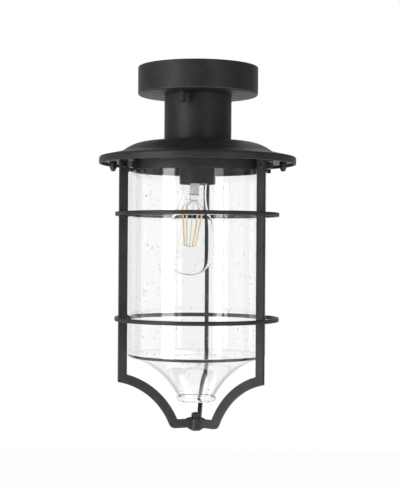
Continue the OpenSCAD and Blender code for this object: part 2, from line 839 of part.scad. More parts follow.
module screw_shell() {
    mouth = 1;                         // porcelain beyond the shell
    floor_r = 8;
    floor_z = holder_web - seat_fit;
    color(brass) in_lamp_frame() {
        tube(shell_r, shell_r - shell_t, holder_bottom + mouth, floor_z);
        tube(shell_r - shell_t / 2, floor_r, floor_z - shell_t, floor_z);
    }
}

// A spring disc and the stud that holds it through the porcelain
module centre_contact() {
    disc_r = 4.5;
    stud_r = 1.5;
    head_h = 0.6;
    color(brass) in_lamp_frame() {
        translate([0, 0, holder_web - contact_t]) cylinder(r = disc_r, h = contact_t);
        translate([0, 0, holder_web - contact_t])
            cylinder(r = stud_r, h = holder_top - holder_web + contact_t + head_h);
    }
}

// ---- lamp

// Screw base: a thin rolled shell, its thread shown as rounded ridges
module lamp_shell() {
    ridges = 4;
    pitch = 3.6;
    first = -1.4;
    color("#c8c9cb") in_lamp_frame() rotate_extrude() {
        body_r = base_r - base_ridge_r;
        translate([body_r - base_t, base_bottom]) square([base_t, base_top - base_bottom]);
        for (i = [0:ridges - 1])
            intersection() {
                translate([body_r, first - i * pitch]) circle(r = base_ridge_r, $fn = 24);
                translate([body_r - base_t / 2, base_bottom])
                    square([base_t + base_ridge_r, base_top - base_bottom]);
            }
        polygon([[body_r - base_t, base_top - eps], [body_r, base_top], [base_top_r, base_shoulder],
            [base_top_r - base_t, base_shoulder], [body_r - 2 * base_t, base_top - eps]]);
    }
}

module lamp_insulator() {
    top_r = 4.6;
    color("#17171a") in_lamp_frame() translate([0, 0, base_shoulder])
        cylinder(r1 = base_top_r, r2 = top_r, h = insulator_h);
}

module lamp_tip() {
    foot_r = 4.2;
    face_r = 3.4;
    tip_h = 0.8;
    color("#c8c9cb") in_lamp_frame() translate([0, 0, base_shoulder + insulator_h])
        cylinder(r1 = foot_r, r2 = face_r, h = tip_h);
}

// The bulb's surface t under its outside, from the neck's level top down to the lowest point. A
// flank arc meets the round end level with its centre, and the neck's hollow arc touches the flank.
function bulb_outline(t, top) =
    let (flank = [bulb_r - bulb_flank_r, bulb_mid], flank_r = bulb_flank_r - t,
        neck_r = neck_glass_r - t, rise = bulb_neck - bulb_mid, gap = neck_r - flank[0],
        hollow_r = (rise * rise + gap * gap - flank_r * flank_r) / (2 * (flank_r - gap)),
        a = asin(rise / (flank_r + hollow_r)))
    concat([[0, top], [neck_r, top]],
        arc([neck_r + hollow_r, bulb_neck], hollow_r, 180, 180 + a, 8), arc(flank, flank_r, a, 0, 8),
        arc([0, bulb_mid], bulb_r - t, 0, -90, 10));

module lamp_envelope() {
    color([0.93, 0.94, 0.95, 0.3]) in_lamp_frame() rotate_extrude() difference() {
        polygon(bulb_outline(0, base_bottom + seal_z + bulb_t));
        polygon(bulb_outline(bulb_t, base_bottom + seal_z));
    }
}

// Glass stem inside the neck, flared at its foot and pinched at its end
module lamp_stem() {
    end_r = 3.45;
    color([0.85, 0.88, 0.86, 0.5]) in_lamp_frame() {
        translate([0, 0, stem_end + stem_pinch])
            cylinder(r = stem_r, h = base_bottom + seal_z - stem_end - stem_pinch);
        translate([0, 0, stem_end])
            cylinder(r1 = end_r, r2 = stem_r, h = stem_pinch);
    }
}

// A point beside filament i, at a distance from the lamp's axis
function filament_at(i, r, z) =
    [r * cos(filament_turn + 90 * i), r * sin(filament_turn + 90 * i), z];

module lamp_filaments() {
    color("#e8b04a") in_lamp_frame() for (i = [0:3])
        bar(filament_at(i, filament_ring_top, filament_top),
            filament_at(i, filament_ring_end, filament_low), filament_r);
}

// Lead wires spread from the stem to the filaments' tops; a centre wire carries their lower ends
module lamp_wires() {
    joint_z = filament_low - anchor_drop;
    color("#8a8c90") in_lamp_frame() {
        bar([0, 0, stem_end - weld_fit], [0, 0, joint_z - wire_r], wire_r);
        for (i = [0:3]) {
            bar(filament_at(i, wire_spread, stem_end - wire_gap),
                filament_at(i, filament_ring_top, filament_top + wire_gap), wire_r);
            bar([0, 0, joint_z], filament_at(i, filament_ring_end, filament_low - wire_gap), wire_r);
        }
    }
}

mounting_bracket();
canopy_studs();
stud_locknuts();
ground_screw();
canopy();
neck_tube();
threaded_rod();
rod_nuts();
rod_washers();
wire_bushing();
cap();
cap_bosses();
socket_cup();
holder_strap();
holder_screws();
lampholder();
screw_shell();
centre_contact();
terminal_screws();
canopy_washer_front();
canopy_nut_front();
canopy_washer_rear();
canopy_nut_rear();
cage_plate();
collar();
leg_left();
leg_right();
leg_back();
leg_feet();
leg_rivets();
leg_screws();
leg_washers();
leg_nuts();
ring_upper();
ring_lower();
hub_boss();
hub_bolt();
glass_shade();
glass_gasket();
glass_cushion();
cap_washer_left();
cap_screw_left();
cap_washer_right();
cap_screw_right();
lamp_shell();
lamp_insulator();
lamp_tip();
lamp_envelope();
lamp_stem();
lamp_filaments();
lamp_wires();
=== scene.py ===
import bmesh, bpy, json, math, random
from mathutils import Matrix, Vector, noise


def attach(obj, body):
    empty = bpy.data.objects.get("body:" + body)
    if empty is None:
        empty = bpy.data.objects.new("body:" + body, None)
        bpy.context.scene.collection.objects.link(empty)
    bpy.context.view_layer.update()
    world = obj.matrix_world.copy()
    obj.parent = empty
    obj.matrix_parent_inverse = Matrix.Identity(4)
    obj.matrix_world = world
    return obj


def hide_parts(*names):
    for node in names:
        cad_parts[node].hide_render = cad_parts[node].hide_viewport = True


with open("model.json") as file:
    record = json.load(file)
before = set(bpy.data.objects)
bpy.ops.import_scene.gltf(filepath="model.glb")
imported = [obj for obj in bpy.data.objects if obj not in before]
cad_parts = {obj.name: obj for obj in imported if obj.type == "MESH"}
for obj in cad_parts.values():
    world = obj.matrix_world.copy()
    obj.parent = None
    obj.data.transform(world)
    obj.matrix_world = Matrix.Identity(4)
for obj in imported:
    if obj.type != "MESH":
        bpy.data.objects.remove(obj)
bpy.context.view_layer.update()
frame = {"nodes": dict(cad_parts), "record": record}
nodes = frame["nodes"]
scene = bpy.context.scene
scene.view_settings.view_transform = "Standard"
mm = 0.001
print("frame loaded,", len(nodes), "nodes")

# ---------- camera, studio and floor

# nearly level, from 1.2 m away, with the picture turned a touch clockwise; one pixel is 1 mm at the axis
view = {"distance": 1197, "right": 2.9, "height": -180.5, "focal": 1197, "horizonRow": 248.3,
        "turn": 0.38, "pixelsWide": 400, "pixelsHigh": 489}
cameraData = bpy.data.cameras.new("lanternCamera")
cameraData.sensor_fit = "HORIZONTAL"
cameraData.sensor_width = 36
cameraData.lens = 36 * view["focal"] / view["pixelsWide"]
camera = bpy.data.objects.new("lanternCamera", cameraData)
camera.location = Vector((view["right"], -view["distance"], view["height"])) * mm
lookUp = math.atan((view["horizonRow"] - view["pixelsHigh"] / 2) / view["focal"])
camera.rotation_euler = (Matrix.Rotation(math.pi / 2 + lookUp, 3, "X")
                         @ Matrix.Rotation(math.radians(view["turn"]), 3, "Z")).to_euler()
scene.collection.objects.link(camera)
scene.camera = camera


def linear(hexColour):
    parts = [int(hexColour[i:i + 2], 16) / 255 for i in (1, 3, 5)]
    return tuple(p / 12.92 if p <= 0.04045 else ((p + 0.055) / 1.055) ** 2.4 for p in parts) + (1,)


# adds a node, sets its properties or input values, and links its inputs from other sockets
def addNode(tree, kind, settings={}, links={}):
    node = tree.nodes.new(kind)
    for name, value in settings.items():
        if isinstance(name, str) and hasattr(node, name):
            setattr(node, name, value)
        else:
            node.inputs[name].default_value = value
    for name, socket in links.items():
        tree.links.new(socket, node.inputs[name])
    return node


# The white backdrop stands behind the lantern, so what gloss mirrors is pale there and dark in front.
# Lamp light doesn't pass glass here, so the room is brighter for what stands inside the glass.
studio = {"ambient": 0.34, "ambientInGlass": 1.3, "darkRoom": 0.04, "sides": 0.45, "paleFrom": 0.75, "paleTo": 0.99,
          "innerFront": 0.35, "innerSides": 0.95, "rightShare": 0.6, "throughGlass": 1.02, "white": "#ffffff",
          "floorDrop": 2400, "floorPaint": "#f2f2f0", "floorInGlass": 0.35}
world = bpy.data.worlds.new("paleStudio")
world.use_nodes = True
scene.world = world
air = world.node_tree
air.nodes.clear()
rays = addNode(air, "ShaderNodeLightPath")
towards = addNode(air, "ShaderNodeSeparateXYZ", {}, {0: addNode(air, "ShaderNodeTexCoord").outputs["Generated"]})
diffused = addNode(air, "ShaderNodeMath", {"operation": "GREATER_THAN", 1: 0.5}, {0: rays.outputs["Diffuse Depth"]})
mirrored = addNode(air, "ShaderNodeMath", {"operation": "GREATER_THAN", 1: 0.5}, {0: rays.outputs["Glossy Depth"]})
# what a glossy coat mirrors: a dark room in front, dim sides, the pale backdrop behind
room = addNode(air, "ShaderNodeMapRange", {"From Min": -1.0, "From Max": 0.6, "To Min": studio["darkRoom"],
                                           "To Max": studio["sides"]}, {"Value": towards.outputs["Y"]})
rightward = addNode(air, "ShaderNodeMapRange", {"From Min": -0.2, "From Max": 0.6, "To Min": 1.0,
                                                "To Max": studio["rightShare"]}, {"Value": towards.outputs["X"]})
room = addNode(air, "ShaderNodeMath", {"operation": "MULTIPLY"}, {0: room.outputs[0], 1: rightward.outputs[0]})
onCoat = addNode(air, "ShaderNodeMapRange", {"From Min": studio["paleFrom"], "From Max": studio["paleTo"],
                                             "To Max": 1.0}, {"Value": towards.outputs["Y"], "To Min": room.outputs[0]})
# what the walls of the glass mirror inside it: pale sides and a dimmer front
inWall = addNode(air, "ShaderNodeMapRange", {"From Min": -0.8, "From Max": -0.1, "To Min": studio["innerFront"],
                                             "To Max": studio["innerSides"]}, {"Value": towards.outputs["Y"]})
passed = rays.outputs["Is Transmission Ray"]
seen = addNode(air, "ShaderNodeMix", {"data_type": "FLOAT", 2: 1.0, 3: studio["throughGlass"]}, {0: passed})
reflected = addNode(air, "ShaderNodeMix", {"data_type": "FLOAT"}, {0: passed, 2: onCoat.outputs[0],
                                                                   3: inWall.outputs[0]})
lit = addNode(air, "ShaderNodeMix", {"data_type": "FLOAT", 2: studio["ambient"], 3: studio["ambientInGlass"]},
              {0: passed})
clear = addNode(air, "ShaderNodeMix", {"data_type": "FLOAT"}, {0: mirrored.outputs[0], 2: seen.outputs[0],
                                                               3: reflected.outputs[0]})
strength = addNode(air, "ShaderNodeMix", {"data_type": "FLOAT"}, {0: diffused.outputs[0], 2: clear.outputs[0],
                                                                  3: lit.outputs[0]})
backdrop = addNode(air, "ShaderNodeBackground", {"Color": linear(studio["white"])},
                   {"Strength": strength.outputs[0]})
addNode(air, "ShaderNodeOutputWorld", {}, {"Surface": backdrop.outputs[0]})


# each lamp: where it stands from the lantern's middle, its face, and its power
lampHeads = {
    "leftStrip": {"around": -137.5, "reach": 1500, "up": -120, "face": (550, 1500), "watts": 13},
    "leftSpill": {"around": -122, "reach": 1500, "up": -120, "face": (262, 1500), "watts": 0.2},
    "rightStrip": {"around": -55, "reach": 1500, "up": -120, "face": (390, 1500), "watts": 4},
    "rightSpill": {"around": -43, "reach": 1500, "up": -120, "face": (240, 1500), "watts": 0.12},
    "overhead": {"around": -90, "reach": 700, "up": 1500, "face": (1400, 900), "watts": 1},
    "lowFill": {"around": -90, "reach": 900, "up": -900, "face": (2400, 1000), "watts": 4},
    "lowLeft": {"around": -172, "reach": 800, "up": -900, "face": (1200, 1200), "watts": 6},
    "lowRight": {"around": -8, "reach": 800, "up": -900, "face": (1200, 1200), "watts": 6},
    "rearGlow": {"around": 70, "reach": 1300, "up": 1500, "face": (900, 900), "watts": 3},
}
middle = Vector((0, 0, -180)) * mm
for name, head in lampHeads.items():
    data = bpy.data.lights.new(name, "AREA")
    data.shape = "RECTANGLE"
    data.size, data.size_y = head["face"][0] * mm, head["face"][1] * mm
    data.energy = head["watts"]
    lamp = bpy.data.objects.new(name, data)
    around = math.radians(head["around"])
    lamp.location = middle + Vector((math.cos(around) * head["reach"], math.sin(around) * head["reach"],
                                     head["up"])) * mm
    lamp.rotation_euler = (middle - lamp.location).to_track_quat("-Z", "Y").to_euler()
    scene.collection.objects.link(lamp)

floorMesh = bpy.data.meshes.new("studioFloor")
half = 12
floorMesh.from_pydata([(-half, -half, 0), (half, -half, 0), (half, half, 0), (-half, half, 0)], [],
                      [(0, 1, 2, 3)])
floor = bpy.data.objects.new("studioFloor", floorMesh)
floor.location.z = -studio["floorDrop"] * mm
scene.collection.objects.link(floor)
paint = bpy.data.materials.new("paleFloorPaint")
paint.use_nodes = True
tree = paint.node_tree
tree.nodes.clear()
rays = addNode(tree, "ShaderNodeLightPath")
seen = addNode(tree, "ShaderNodeMath", {"operation": "MAXIMUM"},
               {0: rays.outputs["Is Camera Ray"], 1: rays.outputs["Is Transmission Ray"]})
seen = addNode(tree, "ShaderNodeMath", {"operation": "MAXIMUM"},
               {0: seen.outputs[0], 1: rays.outputs["Is Glossy Ray"]})
mirrored = addNode(tree, "ShaderNodeMath", {"operation": "GREATER_THAN", 1: 0.5}, {0: rays.outputs["Glossy Depth"]})
inWall = addNode(tree, "ShaderNodeMath", {"operation": "MULTIPLY"},
                 {0: mirrored.outputs[0], 1: rays.outputs["Is Transmission Ray"]})
level = addNode(tree, "ShaderNodeMapRange", {"To Min": 0.9, "To Max": 0.9 * studio["floorInGlass"]},
                {"Value": inWall.outputs[0]})
share = addNode(tree, "ShaderNodeMath", {"operation": "MULTIPLY"}, {0: seen.outputs[0], 1: level.outputs[0]})
matt = addNode(tree, "ShaderNodeBsdfDiffuse", {"Color": linear(studio["floorPaint"])})
glow = addNode(tree, "ShaderNodeEmission", {"Color": linear(studio["white"]), "Strength": 1.05})
both = addNode(tree, "ShaderNodeMixShader", {}, {0: share.outputs[0], 1: matt.outputs[0], 2: glow.outputs[0]})
addNode(tree, "ShaderNodeOutputMaterial", {}, {"Surface": both.outputs[0]})
floorMesh.materials.append(paint)
print("studio ready")

# ---------- finishes


# an empty material with a principled surface; the object's own coordinates go with each piece
def newFinish(name, settings):
    finish = bpy.data.materials.new(name)
    finish.use_nodes = True
    tree = finish.node_tree
    tree.nodes.clear()
    surface = addNode(tree, "ShaderNodeBsdfPrincipled", settings)
    addNode(tree, "ShaderNodeOutputMaterial", {}, {"Surface": surface.outputs[0]})
    place = addNode(tree, "ShaderNodeTexCoord").outputs["Object"]
    return finish, tree, surface, place


# Polyester powder coat on steel, oven-cured: matt black with a fine sandy grain. The real grain is
# about 0.2 mm; it is drawn at 1.1 mm so that it shows at a millimetre to the pixel.
coat = {"shade": "#151315", "lightShade": "#292729", "rough": 0.52, "grain": 1.1, "mottle": 14, "relief": 0.12}
powderCoat, tree, surface, place = newFinish("powderCoatedSteelMattBlack", {"IOR": 1.5})
grain = addNode(tree, "ShaderNodeTexNoise", {"Scale": 1 / (coat["grain"] * mm), "Detail": 2.0}, {"Vector": place})
mottle = addNode(tree, "ShaderNodeTexNoise", {"Scale": 1 / (coat["mottle"] * mm), "Detail": 3.0}, {"Vector": place})
shades = addNode(tree, "ShaderNodeMath", {"operation": "MULTIPLY"}, {0: grain.outputs[0], 1: mottle.outputs[0]})
shades = addNode(tree, "ShaderNodeMapRange", {"From Min": 0.12, "From Max": 0.42}, {"Value": shades.outputs[0]})
tone = addNode(tree, "ShaderNodeMix", {"data_type": "RGBA", 6: linear(coat["shade"]),
                                       7: linear(coat["lightShade"])}, {0: shades.outputs[0]})
gloss = addNode(tree, "ShaderNodeMapRange", {"From Min": 0.3, "From Max": 0.7, "To Min": coat["rough"] - 0.08,
                                             "To Max": coat["rough"] + 0.1}, {"Value": grain.outputs[0]})
bump = addNode(tree, "ShaderNodeBump", {"Strength": 0.6, "Distance": coat["relief"] * mm},
               {"Height": grain.outputs[0]})
tree.links.new(tone.outputs[2], surface.inputs["Base Color"])
tree.links.new(gloss.outputs[0], surface.inputs["Roughness"])
tree.links.new(bump.outputs[0], surface.inputs["Normal"])


# a plain metal: tone varies over the piece, and fine scratches or a grain roughen it
def metalFinish(name, low, high, rough, spread, patch, grainSize, stretch=(1, 1, 1), relief=0.02):
    finish, tree, surface, place = newFinish(name, {"Metallic": 1.0})
    drawn = addNode(tree, "ShaderNodeMapping", {"Scale": stretch}, {"Vector": place})
    grain = addNode(tree, "ShaderNodeTexNoise", {"Scale": 1 / (grainSize * mm), "Detail": 3.0},
                    {"Vector": drawn.outputs[0]})
    cloud = addNode(tree, "ShaderNodeTexNoise", {"Scale": 1 / (patch * mm), "Detail": 2.0}, {"Vector": place})
    tone = addNode(tree, "ShaderNodeMix", {"data_type": "RGBA", 6: linear(low), 7: linear(high)},
                   {0: cloud.outputs[0]})
    gloss = addNode(tree, "ShaderNodeMapRange", {"From Min": 0.3, "From Max": 0.7, "To Min": rough - spread,
                                                 "To Max": rough + spread}, {"Value": grain.outputs[0]})
    bump = addNode(tree, "ShaderNodeBump", {"Strength": 0.3, "Distance": relief * mm},
                   {"Height": grain.outputs[0]})
    tree.links.new(tone.outputs[2], surface.inputs["Base Color"])
    tree.links.new(gloss.outputs[0], surface.inputs["Roughness"])
    tree.links.new(bump.outputs[0], surface.inputs["Normal"])
    return finish


# bright zinc plate over pressed steel: cool silver clouded with faint blue and straw patches
zincPlate = metalFinish("zincPlatedSteel", "#a9afb6", "#c9c7bd", 0.32, 0.08, 9, 0.8)
# zinc plate made black in a passivating bath, on the washers that show: darker and duller than the coat's edge
blackZinc = metalFinish("blackPassivatedZincPlate", "#232325", "#343436", 0.45, 0.06, 4, 0.6)
# zinc plate dyed green marks the earth screw
greenPlate = metalFinish("greenDyedZincPlate", "#2c7a3f", "#3c9450", 0.36, 0.06, 4, 0.7)
# drawn brass, left bare: warm yellow, dulled in patches where it was handled
drawnBrass = metalFinish("drawnBrass", "#b0883c", "#d6b266", 0.28, 0.08, 5, 0.9, (1, 1, 0.2))
# nickel plate over rolled brass: soft silver with lines round the barrel
nickelPlate = metalFinish("nickelPlatedRolledShell", "#b4b2ac", "#d2d0ca", 0.24, 0.06, 6, 0.8, (0.2, 0.2, 2))
# drawn nickel wire, annealed: pale and soft where it fans out from the stem
nickelWire = metalFinish("drawnNickelWire", "#b4b5b7", "#d2d2d3", 0.45, 0.05, 2, 0.6)

# Moulded nylon: near-black with a soft sheen and the faint grain of its mould
nylon, tree, surface, place = newFinish("mouldedNylonBlack", {"Roughness": 0.45, "IOR": 1.53})
grain = addNode(tree, "ShaderNodeTexNoise", {"Scale": 1 / (0.6 * mm), "Detail": 2.0}, {"Vector": place})
tone = addNode(tree, "ShaderNodeMix", {"data_type": "RGBA", 6: linear("#17171a"), 7: linear("#212124")},
               {0: grain.outputs[0]})
bump = addNode(tree, "ShaderNodeBump", {"Strength": 0.3, "Distance": 0.03 * mm}, {"Height": grain.outputs[0]})
tree.links.new(tone.outputs[2], surface.inputs["Base Color"])
tree.links.new(bump.outputs[0], surface.inputs["Normal"])

# Slip-cast porcelain under a clear glaze: warm white, a wavy gloss and a few dark specks
glazed, tree, surface, place = newFinish("glazedPorcelain", {"Roughness": 0.12, "IOR": 1.52,
                                                             "Coat Weight": 0.5, "Coat Roughness": 0.05})
wave = addNode(tree, "ShaderNodeTexNoise", {"Scale": 1 / (5 * mm), "Detail": 1.0}, {"Vector": place})
speck = addNode(tree, "ShaderNodeTexVoronoi", {"Scale": 1 / (3.5 * mm)}, {"Vector": place})
dark = addNode(tree, "ShaderNodeMapRange", {"From Min": 0.06, "From Max": 0.1, "To Min": 1.0, "To Max": 0.0},
               {"Value": speck.outputs["Distance"]})
clay = addNode(tree, "ShaderNodeMix", {"data_type": "RGBA", 6: linear("#e6e2d7"), 7: linear("#f1efe8")},
               {0: wave.outputs[0]})
tone = addNode(tree, "ShaderNodeMix", {"data_type": "RGBA", 7: linear("#a79f90")},
               {0: dark.outputs[0], 6: clay.outputs[2]})
bump = addNode(tree, "ShaderNodeBump", {"Strength": 0.2, "Distance": 0.1 * mm}, {"Height": wave.outputs[0]})
tree.links.new(tone.outputs[2], surface.inputs["Base Color"])
tree.links.new(bump.outputs[0], surface.inputs["Normal"])

# Black glass insulator round the lamp's tip: fired, so smooth and glossy with a slight ripple
vitreous, tree, surface, place = newFinish("firedBlackGlass", {"Roughness": 0.12, "IOR": 1.52})
wave = addNode(tree, "ShaderNodeTexNoise", {"Scale": 1 / (2 * mm)}, {"Vector": place})
tone = addNode(tree, "ShaderNodeMix", {"data_type": "RGBA", 6: linear("#0d0d10"), 7: linear("#1b1a20")},
               {0: wave.outputs[0]})
bump = addNode(tree, "ShaderNodeBump", {"Strength": 0.3, "Distance": 0.05 * mm}, {"Height": wave.outputs[0]})
tree.links.new(tone.outputs[2], surface.inputs["Base Color"])
tree.links.new(bump.outputs[0], surface.inputs["Normal"])


# a clear glass: colourless body, with a wave of a given size on its surface
def glassFinish(name, tint, rough, wave, relief, strength, index=1.5, clearness=1.0, stretch=(1, 1, 0.35)):
    finish, tree, surface, place = newFinish(name, {"Transmission Weight": clearness, "IOR": index,
                                                    "Base Color": linear(tint)})
    drawn = addNode(tree, "ShaderNodeMapping", {"Scale": stretch}, {"Vector": place})
    swell = addNode(tree, "ShaderNodeTexNoise", {"Scale": 1 / (wave * mm), "Detail": 1.5},
                    {"Vector": drawn.outputs[0]})
    gloss = addNode(tree, "ShaderNodeMapRange", {"To Min": rough * 0.5, "To Max": rough * 1.5},
                    {"Value": swell.outputs[0]})
    bump = addNode(tree, "ShaderNodeBump", {"Strength": strength, "Distance": relief * mm},
                   {"Height": swell.outputs[0]})
    tree.links.new(gloss.outputs[0], surface.inputs["Roughness"])
    tree.links.new(bump.outputs[0], surface.inputs["Normal"])
    return finish


# mould-blown soda-lime glass: its wall swells and thins a little, and its skin scatters a trace of light
seededGlass = glassFinish("mouldBlownClearGlass", "#fefefe", 0.012, 30, 0.2, 0.28, clearness=0.998)
# the air bubbles caught in that glass: light passes from glass into air, so the index is inverted
airBubble = glassFinish("airBubbleInGlass", "#ffffff", 0.01, 2, 0.02, 0.2, 1 / 1.5)
# thin blown lamp glass, nearly free of waves
lampGlass = glassFinish("blownLampGlass", "#fefefe", 0.008, 18, 0.1, 0.3, 1.07)
# the lamp's stem: drawn tube, milky grey-green because its wall is fogged by the flame
stemGlass, tree, surface, place = newFinish("foggedStemGlass", {"Roughness": 0.35, "IOR": 1.3,
                                                                "Transmission Weight": 0.15})
cloud = addNode(tree, "ShaderNodeTexNoise", {"Scale": 1 / (2.2 * mm), "Detail": 2.0}, {"Vector": place})
tone = addNode(tree, "ShaderNodeMix", {"data_type": "RGBA", 6: linear("#f0f3ec"), 7: linear("#fcfdf9")},
               {0: cloud.outputs[0]})
bump = addNode(tree, "ShaderNodeBump", {"Strength": 0.25, "Distance": 0.05 * mm}, {"Height": cloud.outputs[0]})
tree.links.new(tone.outputs[2], surface.inputs["Base Color"])
tree.links.new(bump.outputs[0], surface.inputs["Normal"])
# the end of that tube, pressed flat round the wires: thick clear glass
pressedGlass = glassFinish("pressedStemGlass", "#f2f4f2", 0.02, 3, 0.08, 0.5, 1.42)
# the seam where that tube was fused shut: darker, its grey tint painted shade that stands for the light the seam bends
# away
sealGlass = glassFinish("fusedSealGlass", "#7d827f", 0.15, 1.5, 0.05, 0.4, clearness=0.6)

# Silicone rubber, moulded: mid grey and matt with a little depth
silicone, tree, surface, place = newFinish("mouldedSilicone", {"Roughness": 0.6, "IOR": 1.41,
                                                               "Subsurface Weight": 0.1,
                                                               "Subsurface Scale": 0.5 * mm})
grain = addNode(tree, "ShaderNodeTexNoise", {"Scale": 1 / (1.2 * mm), "Detail": 3.0}, {"Vector": place})
tone = addNode(tree, "ShaderNodeMix", {"data_type": "RGBA", 6: linear("#8b8d8e"), 7: linear("#9fa1a2")},
               {0: grain.outputs[0]})
bump = addNode(tree, "ShaderNodeBump", {"Strength": 0.3, "Distance": 0.05 * mm}, {"Height": grain.outputs[0]})
tree.links.new(tone.outputs[2], surface.inputs["Base Color"])
tree.links.new(bump.outputs[0], surface.inputs["Normal"])

# Closed-cell sponge, cut from sheet: dark grey, with open cells about 0.7 mm across on the cut, and painted shade
# darkening the hollow of each cell
sponge, tree, surface, place = newFinish("closedCellSponge", {"Roughness": 0.92, "Sheen Weight": 0.15,
                                                              "Sheen Roughness": 0.5})
cells = addNode(tree, "ShaderNodeTexVoronoi", {"Scale": 1 / (0.9 * mm)}, {"Vector": place})
# each cell's depth sinks the bump and also darkens the tone towards the cell's middle, as painted shade
depth = addNode(tree, "ShaderNodeMapRange", {"From Max": 0.55}, {"Value": cells.outputs["Distance"]})
tone = addNode(tree, "ShaderNodeMix", {"data_type": "RGBA", 6: linear("#2a2a2b"), 7: linear("#4d4d4f")},
               {0: depth.outputs[0]})
bump = addNode(tree, "ShaderNodeBump", {"Strength": 0.9, "Distance": 0.35 * mm}, {"Height": depth.outputs[0]})
tree.links.new(tone.outputs[2], surface.inputs["Base Color"])
tree.links.new(bump.outputs[0], surface.inputs["Normal"])

# Phosphor in silicone over a row of chips: amber, and light soaks into it. The chips are 1 mm apart.
phosphor, tree, surface, place = newFinish("amberPhosphorSilicone", {
    "Roughness": 0.42, "IOR": 1.43, "Subsurface Weight": 0.6, "Subsurface Scale": 1.2 * mm,
    "Subsurface Radius": (1.0, 0.55, 0.12)})
chips = addNode(tree, "ShaderNodeTexWave", {"wave_type": "BANDS", "bands_direction": "Z",
                                            "Scale": 1 / (3.2 * mm)}, {"Vector": place})
tone = addNode(tree, "ShaderNodeMix", {"data_type": "RGBA", 6: linear("#f7d9a2"), 7: linear("#fcecca")},
               {0: chips.outputs[0]})
bump = addNode(tree, "ShaderNodeBump", {"Strength": 0.25, "Distance": 0.1 * mm}, {"Height": chips.outputs[0]})
tree.links.new(tone.outputs[2], surface.inputs["Base Color"])
tree.links.new(bump.outputs[0], surface.inputs["Normal"])

finishBySlot = {"zinc": zincPlate, "ground_green": greenPlate, "black_coat": powderCoat, "black_nylon": nylon,
                "porcelain": glazed, "brass": drawnBrass, "seeded_glass": seededGlass, "silicone": silicone,
                "sponge": sponge, "lamp_metal": nickelPlate, "lamp_insulator": vitreous,
                "lamp_glass": lampGlass, "filament": phosphor, "lamp_wire": nickelWire}
for part in frame["record"]["subparts"]:
    mesh = nodes[part["node"]].data
    mesh.materials.clear()
    mesh.materials.append(finishBySlot[part["material_slot"]])
nodes["lamp_stem"].data.materials[0] = stemGlass
for name in ("canopy_washer_front", "canopy_washer_rear", "cap_washer_left", "cap_washer_right"):
    nodes[name].data.materials[0] = blackZinc
print("finishes ready")

# ---------- shapes that the pieces share, in millimetres


def circle(radius, height, steps=48, turn=0.0):
    angles = [turn + 2 * math.pi * j / steps for j in range(steps)]
    return [(radius * math.cos(a), radius * math.sin(a), height) for a in angles]


# joins rings of points into a surface; a ring of one point closes an end, loop joins last to first
def skin(rings, loop=False):
    points, faces, rows = [], [], []
    steps = max(len(ring) for ring in rings)
    for ring in rings:
        rows.append([len(points) + (j if len(ring) > 1 else 0) for j in range(steps)])
        points += [Vector(point) for point in ring]
    for low, high in zip(rows, rows[1:] + rows[:1] if loop else rows[1:]):
        for j in range(steps):
            k = (j + 1) % steps
            corners = list(dict.fromkeys((low[j], low[k], high[k], high[j])))
            if len(corners) > 2:
                faces.append(corners)
    return points, faces


# a section of (radius, height) points turned round the upright axis
def turned(section, steps=48, loop=False):
    return skin([circle(r, z, steps) if r else [(0, 0, z)] for r, z in section], loop)


def moved(shape, place):
    return [place @ Vector(point) for point in shape[0]], shape[1]


def joined(shapes):
    points, faces = [], []
    for shape in shapes:
        faces += [[corner + len(points) for corner in face] for face in shape[1]]
        points += shape[0]
    return points, faces


def atPolar(radius, angle, height=0.0):
    return Matrix.Rotation(math.radians(angle), 4, "Z") @ Matrix.Translation((radius, 0, height))


# a closed piece with its finish, riding on a body; edges sharper than crease stay crisp
def newPiece(name, shape, finish, body, stands=(), crease=35):
    mesh = bpy.data.meshes.new(name)
    mesh.from_pydata([point * mm for point in shape[0]], [], shape[1])
    tidy = bmesh.new()
    tidy.from_mesh(mesh)
    bmesh.ops.remove_doubles(tidy, verts=tidy.verts, dist=1e-7)
    bmesh.ops.recalc_face_normals(tidy, faces=tidy.faces)
    tidy.to_mesh(mesh)
    tidy.free()
    mesh.materials.append(finish)
    mesh.polygons.foreach_set("use_smooth", [True] * len(mesh.polygons))
    mesh.set_sharp_from_angle(angle=math.radians(crease))
    piece = bpy.data.objects.new(name, mesh)
    scene.collection.objects.link(piece)
    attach(piece, body)
    if stands:
        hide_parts(*stands)
    return piece


# one turned thread on a bar: flat crest, sharp root, and a lead-in at both ends
def threadRings(radius, depth, pitch, low, high, steps=24):
    rows = max(4, math.ceil((high - low) / pitch * 6))
    rings = []
    for i in range(rows + 1):
        z = low + (high - low) * i / rows
        leadIn = min(1, (z - low) / pitch, (high - z) / pitch)
        ring = []
        for j in range(steps):
            phase = (z / pitch - j / steps) % 1
            rise = min(1, 1.3 * (1 - abs(2 * phase - 1))) * leadIn
            r = radius - depth * (1 - rise)
            a = 2 * math.pi * j / steps
            ring.append((r * math.cos(a), r * math.sin(a), z))
        rings.append(ring)
    return rings


def threadedBar(radius, depth, pitch, low, high, steps=24):
    return skin([[(0, 0, low)]] + threadRings(radius, depth, pitch, low, high, steps) + [[(0, 0, high)]])


# a hexagon's ring; inside the circle that its flats touch it is that circle
def hexRing(flats, height, limit, steps=48):
    ring = []
    for j in range(steps):
        a = 2 * math.pi * j / steps
        r = min(flats / 2 / math.cos((a % (math.pi / 3)) - math.pi / 6), limit)
        ring.append((r * math.cos(a), r * math.sin(a), height))
    return ring


# the hexagon's edge cut back by a 30 degree cone, so that each flat ends in a curve
def coneCut(flats, height, way, steps=48):
    ring = []
    for j in range(steps):
        a = 2 * math.pi * j / steps
        r = flats / 2 / math.cos((a % (math.pi / 3)) - math.pi / 6)
        ring.append((r * math.cos(a), r * math.sin(a), height + way * (r - flats / 2) * math.tan(math.pi / 6)))
    return ring


